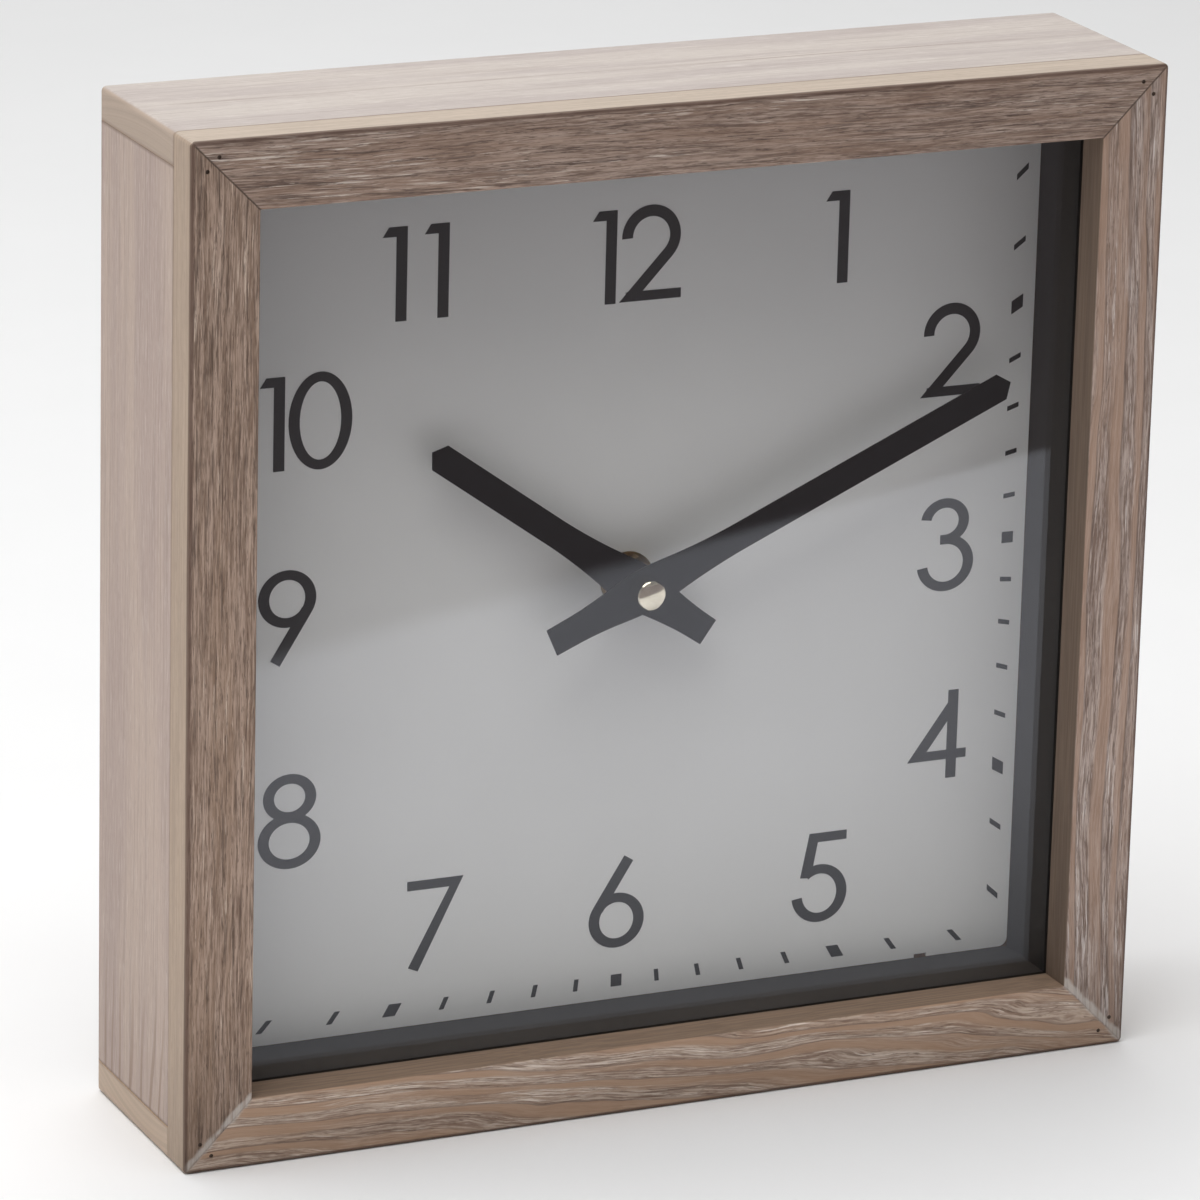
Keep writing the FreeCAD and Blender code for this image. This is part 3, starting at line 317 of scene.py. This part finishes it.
def board_wood(side, look):
    """Side board: pale limed outside, end grain at its ends, raw wood inside the case."""
    s = Shade("board_wood_" + side)
    upright = side in ("left", "right")
    height = s.add(s.z, -CENTRE_Z)
    along, across = (height, s.x) if upright else (s.x, height)
    towards_outside = s.nx if upright else s.nz
    seed = look["seed"]
    slow = s.noise(s.vector(s.times(along, 0.010), s.times(s.y, 0.05), seed), detail=2.0)
    level = s.add(s.y, s.times(s.add(slow, -0.5), 5.0))

    def streaks(per_along, per_across, offset, detail=3.0, rough=0.6):
        point = s.vector(s.times(along, per_along), s.times(level, per_across),
                         s.add(s.times(across, per_across), seed + offset))
        return s.noise(point, detail=detail, roughness=rough)

    broad = streaks(0.008, 0.10, 0.0, 2.0)
    lines = streaks(0.02, 1.1, 40.0, 4.0)
    fine = streaks(0.12, 3.0, 80.0)
    hairs = streaks(0.30, 5.0, 120.0, 2.0)
    colour = s.mix(s.step(broad, 0.38, 0.62), tone(*look["base"]), tone(*look["other"]))
    colour = s.mix(s.times(s.step(lines, 0.36, 0.52, 1.0, 0.0), 0.45), colour,
                   tone(*look["line"]))
    colour = s.mix(s.times(s.step(fine, 0.54, 0.68), 0.4), colour,
                   s.mix(0.5, tone(*look["other"]), tone(255, 250, 245)))
    colour = s.mix(s.times(s.step(hairs, 0.32, 0.44, 1.0, 0.0), 0.5), colour,
                   tone(*look["line"]))

    # arched figure towards the bottom end
    arch = s.add(s.add(s.y, -6.0), s.times(s.add(along, 70.0), 0.10))
    arch = s.add(arch, s.times(s.add(slow, -0.5), 14.0))
    swing = s.math("SINE", s.times(arch, 1.15))
    figure = s.times(s.step(swing, 0.55, 0.98), s.step(along, -104.0, -66.0, 1.0, 0.0))
    colour = s.mix(s.times(figure, look["figure"]), colour, tone(140, 114, 98))
    stray = s.absolute(s.add(s.add(s.y, -5.0), s.times(s.add(slow, -0.5), 3.0)))
    crack = s.times(s.step(stray, 0.1, 0.5, 1.0, 0.0), s.step(lines, 0.4, 0.6, 1.0, 0.3))
    colour = s.mix(s.times(crack, look["crack"]), colour, tone(136, 116, 104))

    # end grain: rings that curve across the board's thickness
    bow = s.math("SQRT", s.add(s.times(s.add(s.y, 4.0), s.add(s.y, 4.0)),
                               s.times(s.add(height, 30.0), s.add(height, 30.0))))
    rings = s.noise(s.vector(s.times(bow, 0.9), seed, 0.0), detail=3.0)
    dots = s.noise(s.vector(s.times(s.y, 3.5), s.times(height, 3.5), s.add(s.x, seed)))
    end = s.mix(s.step(rings, 0.4, 0.6), tone(*look["end"]),
                tone(*[v * 0.95 for v in look["end"]]))
    end = s.mix(s.times(s.step(dots, 0.34, 0.42, 1.0, 0.0), 0.35), end,
                tone(*[v * 0.86 for v in look["end"]]))
    from_seam = s.absolute(s.add(s.absolute(height), -BOARD_IN))
    joint = s.step(from_seam, 0.15, 0.9, 1.0, 0.0)
    if upright:
        colour = s.mix(s.times(joint, 0.55), colour, tone(116, 96, 82))
    else:
        at_end = s.step(s.absolute(s.nx), 0.4, 0.8)
        colour = s.mix(at_end, colour, end)
        colour = s.mix(s.times(s.times(joint, at_end), 0.35), colour, tone(124, 104, 88))
    rail_joint = s.step(s.y, SEAM_Y + 0.1, SEAM_Y + 0.7, 1.0, 0.0)
    colour = s.mix(s.times(rail_joint, s.step(height, -60.0, 30.0, 0.1, 0.4)), colour,
                   tone(120, 98, 84))

    # the inside of the case isn't limed
    inward = s.times(s.times(towards_outside, s.math("SIGN", across)), -1.0)
    raw = s.mix(s.step(lines, 0.35, 0.6), tone(186, 152, 118), tone(204, 174, 140))
    raw = s.mix(s.times(s.step(fine, 0.55, 0.7), 0.3), raw, tone(168, 132, 98))
    colour = s.mix(s.step(inward, 0.3, 0.7), colour, raw)
    relief = s.add(s.times(lines, 0.5), s.times(fine, 0.4))
    rough = s.step(fine, 0.3, 0.7, 0.60, 0.72)
    return s.done(colour, rough, s.bump(relief, 0.08, 0.5), Specular_IOR_Level=0.35)


def block_wood():
    s = Shade("block_wood")
    point = s.vector(s.times(s.x, 1.1), s.times(s.y, 0.06), s.times(s.z, 1.1))
    lines = s.noise(point, detail=3.0)
    fine = s.noise(s.vector(s.times(s.x, 4.0), s.times(s.y, 0.3), s.times(s.z, 4.0)))
    colour = s.mix(s.step(lines, 0.38, 0.6), tone(196, 160, 116), tone(220, 190, 148))
    colour = s.mix(s.times(s.step(fine, 0.5, 0.7), 0.3), colour, tone(172, 132, 92))
    return s.done(colour, s.step(fine, 0.3, 0.7, 0.62, 0.75),
                  s.bump(s.add(lines, fine), 0.08, 0.5), Specular_IOR_Level=0.3)


# ------------------------------------------------------------------ dial side

def dial_print():
    s = Shade("dial_print")
    grain = s.noise(s.place, 6.0, 3.0)
    cloud = s.noise(s.place, 0.02, 2.0)
    colour = s.mix(s.step(cloud, 0.35, 0.65), tone(237, 237, 233), tone(240, 240, 236))
    colour = s.mix(s.times(s.step(grain, 0.35, 0.65), 0.25), colour, tone(232, 232, 229))
    return s.done(colour, s.step(grain, 0.3, 0.7, 0.5, 0.56), s.bump(grain, 0.01, 0.3),
                  Specular_IOR_Level=0.4)


def ink():
    s = Shade("ink")
    grain = s.noise(s.place, 9.0, 2.0)
    colour = s.mix(grain, tone(30, 30, 31), tone(38, 38, 39))
    return s.done(colour, s.step(grain, 0.3, 0.7, 0.42, 0.5), Specular_IOR_Level=0.4)


def black_card():
    s = Shade("black_card")
    fibre = s.noise(s.vector(s.times(s.x, 1.5), s.times(s.y, 5.0), s.times(s.z, 1.5)),
                    detail=4.0, roughness=0.6)
    colour = s.mix(fibre, tone(30, 29, 29), tone(44, 42, 42))
    return s.done(colour, s.step(fibre, 0.3, 0.7, 0.6, 0.72), s.bump(fibre, 0.03, 0.4),
                  Specular_IOR_Level=0.4)


def hardboard():
    """Dark fibre board with the woven screen pattern on its rear face."""
    s = Shade("hardboard")
    fibre = s.noise(s.place, 1.4, 5.0, 0.65, 0.4)
    speck = s.noise(s.place, 4.5, 3.0)
    colour = s.mix(s.step(fibre, 0.35, 0.65), tone(98, 68, 44), tone(132, 96, 64))
    colour = s.mix(s.times(s.step(speck, 0.58, 0.7), 0.5), colour, tone(160, 124, 86))
    weave_x = s.math("SINE", s.times(s.x, 5.2))
    weave_z = s.math("SINE", s.times(s.z, 5.2))
    weave = s.times(s.times(weave_x, weave_z), 0.5)
    colour = s.mix(s.step(weave, -0.4, 0.4, 0.25, 0.0), colour, tone(70, 46, 28))
    return s.done(colour, s.step(fibre, 0.3, 0.7, 0.66, 0.8),
                  s.bump(s.add(weave, s.times(speck, 0.4)), 0.12, 0.6), Specular_IOR_Level=0.3)


def glass():
    """Clear float glass; lamps reach the dial through it."""
    material = bpy.data.materials.new("glass")
    material.use_nodes = True
    tree = material.node_tree
    tree.nodes.clear()
    pane = tree.nodes.new("ShaderNodeBsdfPrincipled")
    where = tree.nodes.new("ShaderNodeTexCoord")
    smear = tree.nodes.new("ShaderNodeTexNoise")
    smear.inputs["Scale"].default_value = 14.0
    tree.links.new(where.outputs["Object"], smear.inputs["Vector"])
    faint = tree.nodes.new("ShaderNodeMapRange")
    for key, number in (("From Min", 0.3), ("From Max", 0.7), ("To Min", 0.985),
                        ("To Max", 0.995)):
        faint.inputs[key].default_value = number
    tree.links.new(smear.outputs[0], faint.inputs["Value"])
    tree.links.new(faint.outputs[0], pane.inputs["Base Color"])
    pane.inputs["Roughness"].default_value = 0.0
    pane.inputs["IOR"].default_value = 1.5
    pane.inputs["Transmission Weight"].default_value = 1.0
    clear = tree.nodes.new("ShaderNodeBsdfTransparent")
    clear.inputs["Color"].default_value = (0.98, 0.98, 0.98, 1)
    path = tree.nodes.new("ShaderNodeLightPath")
    both = tree.nodes.new("ShaderNodeMixShader")
    out = tree.nodes.new("ShaderNodeOutputMaterial")
    tree.links.new(path.outputs["Is Shadow Ray"], both.inputs[0])
    tree.links.new(pane.outputs[0], both.inputs[1])
    tree.links.new(clear.outputs[0], both.inputs[2])
    tree.links.new(both.outputs[0], out.inputs[0])
    return material


# ------------------------------------------------------------------ metal and plastic

def metal(name, dark, light, rough, streak=(1.0, 1.0, 1.0), depth=0.01, scale=3.0):
    """Worn metal: fine marks along an axis, patchy roughness."""
    s = Shade(name)
    marks = s.noise(s.vector(s.times(s.x, streak[0]), s.times(s.y, streak[1]),
                             s.times(s.z, streak[2])), scale, 4.0, 0.6)
    stains = s.noise(s.place, 0.5, 3.0)
    colour = s.mix(s.step(s.add(s.times(marks, 0.5), s.times(stains, 0.5)), 0.38, 0.62),
                   tone(*dark), tone(*light))
    return s.done(colour, s.step(marks, 0.3, 0.7, rough * 0.8, rough * 1.2),
                  s.bump(marks, depth, 0.4), Metallic=1.0)


def plastic(name, dark, light, rough, grain=5.0, depth=0.02, shine=0.5):
    """Moulded plastic with a spark-eroded grain."""
    s = Shade(name)
    pits = s.noise(s.place, grain, 3.0, 0.6)
    flow = s.noise(s.place, 0.15, 2.0)
    colour = s.mix(s.step(s.add(s.times(pits, 0.6), s.times(flow, 0.4)), 0.36, 0.64),
                   tone(*dark), tone(*light))
    return s.done(colour, s.step(pits, 0.3, 0.7, rough - 0.05, rough + 0.06),
                  s.bump(pits, depth, 0.5), Specular_IOR_Level=shine)


def sleeve():
    """Printed cell sleeve: plain bands, with no lettering."""
    s = Shade("cell_sleeve")
    scuff = s.noise(s.place, 2.5, 4.0, 0.6)
    band = s.step(s.x, 12.6, 12.8)
    colour = s.mix(band, tone(52, 84, 70), tone(186, 186, 180))
    ring = s.times(s.step(s.x, 10.6, 10.8), s.step(s.x, 11.9, 12.1, 1.0, 0.0))
    colour = s.mix(ring, colour, tone(228, 226, 216))
    colour = s.mix(s.times(s.step(scuff, 0.6, 0.72), 0.25), colour, tone(150, 156, 166))
    return s.done(colour, s.step(scuff, 0.3, 0.7, 0.26, 0.36), s.bump(scuff, 0.01, 0.3),
                  Coat_Weight=0.3, Coat_Roughness=0.2)


for side, look in RAILS.items():
    wear(rail_wood(side, look), "front_rail_" + side)
for side, look in BOARDS.items():
    wear(board_wood(side, look), side + "_board")

CORNERS = ("top_left", "top_right", "bottom_left", "bottom_right")
wear(block_wood(), *["corner_block_" + c for c in CORNERS])
wear(metal("pin_steel", (84, 72, 64), (112, 98, 88), 0.6), *["rail_pins_" + c for c in CORNERS])
wear(glass(), "glass_pane")
wear(black_card(), *["spacer_" + side for side in RAILS])
wear(hardboard(), "dial_board")
wear(dial_print(), "dial_sheet")
wear(ink(), "minute_track", "dial_numerals")
wear(metal("zinc_steel", (150, 152, 150), (196, 197, 192), 0.34, (0.3, 1.0, 1.6)),
     "hanger_plate")
wear(metal("screw_steel", (170, 160, 120), (208, 198, 150), 0.3),
     "hanger_screw_left", "hanger_screw_right")
wear(metal("bright_steel", (160, 160, 160), (200, 200, 198), 0.3), "stator", "contact_plus",
     "contact_minus", "rotor_pinion")
wear(metal("brass", (120, 98, 62), (164, 138, 92), 0.42), "dial_washer", "bushing_nut")
wear(metal("bright_brass", (186, 152, 88), (214, 184, 118), 0.28), "minute_arbor",
     "clutch_spring")
wear(metal("cap_brass", (226, 216, 190), (238, 230, 206), 0.10, depth=0.002), "cap_nut")
wear(plastic("black_plastic", (22, 22, 23), (34, 34, 35), 0.5), "movement_case",
     "movement_cover", "setting_knob")
wear(plastic("white_plastic", (214, 212, 204), (232, 230, 222), 0.42, 3.0), "train_plate",
     "hour_wheel", "motion_wheel", "third_wheel", "seconds_wheel", "intermediate_wheel",
     "clutch_wheel", "coil_bobbin")
wear(plastic("rubber", (26, 25, 25), (40, 39, 38), 0.72, 4.0, 0.04), "rubber_washer")
wear(plastic("hand_black", (22, 22, 23), (27, 27, 29), 0.5, 2.0, 0.004, 0.12), "hour_hand",
     "minute_hand")
wear(metal("magnet", (74, 76, 80), (104, 106, 112), 0.4), "rotor_magnet")
wear(metal("copper", (168, 88, 52), (206, 122, 78), 0.3, (0.2, 1.0, 9.0), 0.05),
     "coil_winding")
wear(plastic("board_green", (24, 72, 44), (36, 92, 58), 0.4, 1.5), "circuit_board")
wear(plastic("black_resin", (18, 18, 18), (30, 30, 30), 0.2, 1.0, 0.03), "chip_cap")
wear(metal("crystal_can", (182, 182, 184), (214, 214, 214), 0.22), "quartz_crystal")
wear(metal("cell_steel", (184, 184, 182), (214, 214, 210), 0.24, (6.0, 1.0, 1.0)),
     "battery_can")
wear(sleeve(), "battery_sleeve")


# ------------------------------------------------------------------ battery spring

STRIP_T = 0.4 * MM
STRIP_ROWS = 25
STRIP_CORNER = 1.6 * MM
FOLD_HEIGHT = 0.15 * MM
FOLD_SPREAD = 0.05
FOLD_SPOTS = (0.12, 0.88)
WIRE_R = 0.25 * MM
COIL_TURNS = 3.5
COIL_POINTS = 120
COIL_R = 3.0
COIL_TAPER = 1.7


def contact_plate(lowest, highest):
    """Bent strip with softened corners and two stiffening folds across it."""
    deep = highest.y - lowest.y
    tall = highest.z - lowest.z
    middle = (lowest.z + highest.z) / 2
    points = []
    for layer in (0.0, STRIP_T):
        for i in range(STRIP_ROWS):
            share = i / (STRIP_ROWS - 1)
            end = min(share, 1 - share) * deep
            into = max(STRIP_CORNER - end, 0)
            narrow = STRIP_CORNER - math.sqrt(max(STRIP_CORNER ** 2 - into ** 2, 0))
            fold = FOLD_HEIGHT * sum(math.exp(-((share - spot) / FOLD_SPREAD) ** 2)
                                     for spot in FOLD_SPOTS)
            for side in (-1, 1):
                points.append((lowest.x + layer + fold, lowest.y + share * deep,
                               middle + side * (tall / 2 - narrow)))
    faces = []
    upper = STRIP_ROWS * 2
    for i in range(STRIP_ROWS - 1):
        a = 2 * i
        faces.append((a, a + 1, a + 3, a + 2))
        faces.append((upper + a + 2, upper + a + 3, upper + a + 1, upper + a))
        faces.append((a + 2, upper + a + 2, upper + a, a))
        faces.append((a + 1, upper + a + 1, upper + a + 3, a + 3))
    faces.append((0, upper, upper + 1, 1))
    faces.append((upper - 1, 2 * upper - 1, 2 * upper - 2, upper - 2))
    mesh = bpy.data.meshes.new("contact_minus_plate")
    mesh.from_pydata(points, [], faces)
    made = bpy.data.objects.new("contact_minus_plate", mesh)
    bpy.context.scene.collection.objects.link(made)
    return made


def contact_coil(start, centre_y, centre_z, length):
    """Conical wire spring that presses on the flat end of the cell."""
    curve = bpy.data.curves.new("contact_minus_spring", "CURVE")
    curve.dimensions = "3D"
    curve.bevel_depth = WIRE_R
    curve.bevel_resolution = 3
    wire = curve.splines.new("POLY")
    wire.points.add(COIL_POINTS)
    for i, point in enumerate(wire.points):
        share = i / COIL_POINTS
        angle = share * COIL_TURNS * 2 * math.pi
        radius = (COIL_R - COIL_TAPER * share) * MM
        point.co = (start + WIRE_R + share * (length - 2 * WIRE_R),
                    centre_y + radius * math.cos(angle), centre_z + radius * math.sin(angle), 1)
    made = bpy.data.objects.new("contact_minus_spring", curve)
    bpy.context.scene.collection.objects.link(made)
    return made


low_corner, high_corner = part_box("contact_minus")
plate = contact_plate(low_corner, high_corner)
middle = (low_corner + high_corner) / 2
can_middle = (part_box("battery_can")[0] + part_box("battery_can")[1]) / 2
coil = contact_coil(low_corner.x + STRIP_T, can_middle.y, middle.z,
                    high_corner.x - low_corner.x - STRIP_T)
steel = metal("spring_steel", (168, 168, 166), (206, 206, 202), 0.26, (3.0, 1.0, 1.0))
for piece in (plate, coil):
    piece.data.materials.append(steel)
    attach(piece, "clock_body")
    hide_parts("contact_minus")


# ------------------------------------------------------------------ room, lamps and camera

def area(name, place, target, size, power):
    """Rectangular lamp at a place, turned towards its target."""
    lamp = bpy.data.lights.new(name, "AREA")
    lamp.shape = "RECTANGLE"
    lamp.size, lamp.size_y = size
    lamp.energy = power
    made = bpy.data.objects.new(name, lamp)
    made.location = place
    made.rotation_mode = "QUATERNION"
    made.rotation_quaternion = (Vector(target) - Vector(place)).to_track_quat("-Z", "Y")
    bpy.context.scene.collection.objects.link(made)
    return made


def sheet(name, corners):
    """Flat piece of the studio, which isn't part of the object."""
    mesh = bpy.data.meshes.new(name)
    mesh.from_pydata([Vector(c) for c in corners], [], [range(len(corners))])
    made = bpy.data.objects.new(name, mesh)
    bpy.context.scene.collection.objects.link(made)
    return made


FLOOR = 4.0             # half the floor's width
WORLD_FRONT = 0.18      # strength of the light from all round, in front and behind
WORLD_REAR = 0.45
OVERHEAD = 18.0         # lamps, in watts
WASH = 9.0
BOUNCE = 1.9
CARD_LIFT = 0.0006      # the glowing card of painted reflections, just above the floor
CARD_LEFT, CARD_RIGHT = -1.5, 3.0
CARD_NEAR, CARD_FAR = -0.03, -2.5
TABLE_SPOT = (23.0, -317.0)         # a point on the table's edge, in millimetres
TABLE_AWAY = (-0.361, -0.933)       # across that edge, away from the clock
# painted reflection colours: the lit table top far out, a painted shadow of the clock on the
# table close to it, and the dark room
TABLE_FAR = (0.92, 0.93, 1.02, 1)
TABLE_NEAR_PAINTED_SHADOW = (0.46, 0.46, 0.50, 1)
ROOM = (0.19, 0.16, 0.165, 1)
floor = sheet("floor", [(-FLOOR, -FLOOR, 0), (FLOOR, -FLOOR, 0), (FLOOR, FLOOR, 0),
                        (-FLOOR, FLOOR, 0)])
s = Shade("floor_paint")
grain = s.noise(s.place, 0.02, 3.0)
floor.data.materials.append(s.done(s.mix(grain, tone(240, 240, 240), tone(243, 243, 243)), 0.8,
                                   Specular_IOR_Level=0.2))

# painted reflection: a glowing card, which is no lamp, seen only in reflections; it shows the
# lit table top, darker near the clock for a painted shadow, then the dark room beyond its front
# edge
card = sheet("painted_reflection_card",
             [(CARD_LEFT, CARD_NEAR, CARD_LIFT), (CARD_LEFT, CARD_FAR, CARD_LIFT),
              (CARD_RIGHT, CARD_FAR, CARD_LIFT), (CARD_RIGHT, CARD_NEAR, CARD_LIFT)])
s = Shade("painted_reflection_card")
past_edge = s.add(s.times(s.add(s.x, -TABLE_SPOT[0]), TABLE_AWAY[0]),
                  s.times(s.add(s.y, -TABLE_SPOT[1]), TABLE_AWAY[1]))
blur = s.step(s.x, 0.0, 300.0, 11.0, 3.0)
beyond = s.step(s.math("DIVIDE", past_edge, blur), -1.0, 1.0)
glow = s.tree.nodes.new("ShaderNodeEmission")
# painted shadow: the reflected table darkens towards the clock's base
table = s.mix(s.step(s.y, -230.0, -40.0), TABLE_FAR, TABLE_NEAR_PAINTED_SHADOW)
s.put(glow.inputs["Color"], s.mix(beyond, table, ROOM))
output = s.tree.nodes.new("ShaderNodeOutputMaterial")
s.tree.links.new(glow.outputs[0], output.inputs[0])
card.data.materials.append(s.material)
card.visible_camera = False
card.visible_diffuse = False
card.visible_shadow = False

# light from all round, weaker in front; the camera itself sees plain white
world = bpy.data.worlds.new("studio")
world.use_nodes = True
tree = world.node_tree
back = tree.nodes["Background"]
direction = tree.nodes.new("ShaderNodeTexCoord")
split = tree.nodes.new("ShaderNodeSeparateXYZ")
tree.links.new(direction.outputs["Generated"], split.inputs[0])
rearward = tree.nodes.new("ShaderNodeMapRange")
rearward.interpolation_type = "SMOOTHSTEP"
tree.links.new(split.outputs[1], rearward.inputs["Value"])
for key, number in (("From Min", -0.5), ("From Max", 0.5), ("To Min", WORLD_FRONT),
                    ("To Max", WORLD_REAR)):
    rearward.inputs[key].default_value = number
path = tree.nodes.new("ShaderNodeLightPath")
seen = tree.nodes.new("ShaderNodeMix")
seen.data_type = "FLOAT"    # its sockets 2 and 3 are the two values that it mixes
tree.links.new(path.outputs["Is Camera Ray"], seen.inputs[0])
tree.links.new(rearward.outputs[0], seen.inputs[2])
seen.inputs[3].default_value = 1.0
tree.links.new(seen.outputs[0], back.inputs["Strength"])
back.inputs["Color"].default_value = (1, 1, 1, 1)
bpy.context.scene.world = world

area("overhead", (-0.35, -0.12, 1.35), (0, -0.05, 0.0), (1.3, 1.3), OVERHEAD)
bounce = area("table_bounce", (-0.16, -0.29, 0.004), (-0.16, -0.29, 1.0), (1.2, 0.46), BOUNCE)
bounce.visible_camera = False
bounce.visible_glossy = False
# the low lamp would show as a false band in the glass and the hands, so it leaves them out
unlit = bpy.data.collections.new("no_bounce")
for name in ("glass_pane", "hour_hand", "minute_hand"):
    unlit.objects.link(nodes[name])
bounce.light_linking.receiver_collection = unlit
for entry in unlit.collection_objects:
    entry.light_linking.link_state = "EXCLUDE"
area("wash", (0.3, 1.25, 1.6), (0.3, 1.15, 0), (1.5, 1.5), WASH)

bpy.context.scene.view_settings.view_transform = "Standard"

CAMERA_SPOT = (-0.6025, -1.3055, 0.5557)
RIGHT = Vector((0.91256, -0.40824, 0.02398))
UP = Vector((0.10116, 0.28217, 0.95402))
AHEAD = Vector((0.3962, 0.8682, -0.2988))
camera = bpy.data.cameras.new("camera")
camera.sensor_width = 36.0
camera.lens = 213.03
camera.clip_start = 0.01
camera.clip_end = 50.0
viewer = bpy.data.objects.new("camera", camera)
bpy.context.scene.collection.objects.link(viewer)
turned = Matrix((RIGHT, UP, -AHEAD)).transposed().to_4x4()
viewer.matrix_world = Matrix.Translation(CAMERA_SPOT) @ turned
bpy.context.scene.camera = viewer
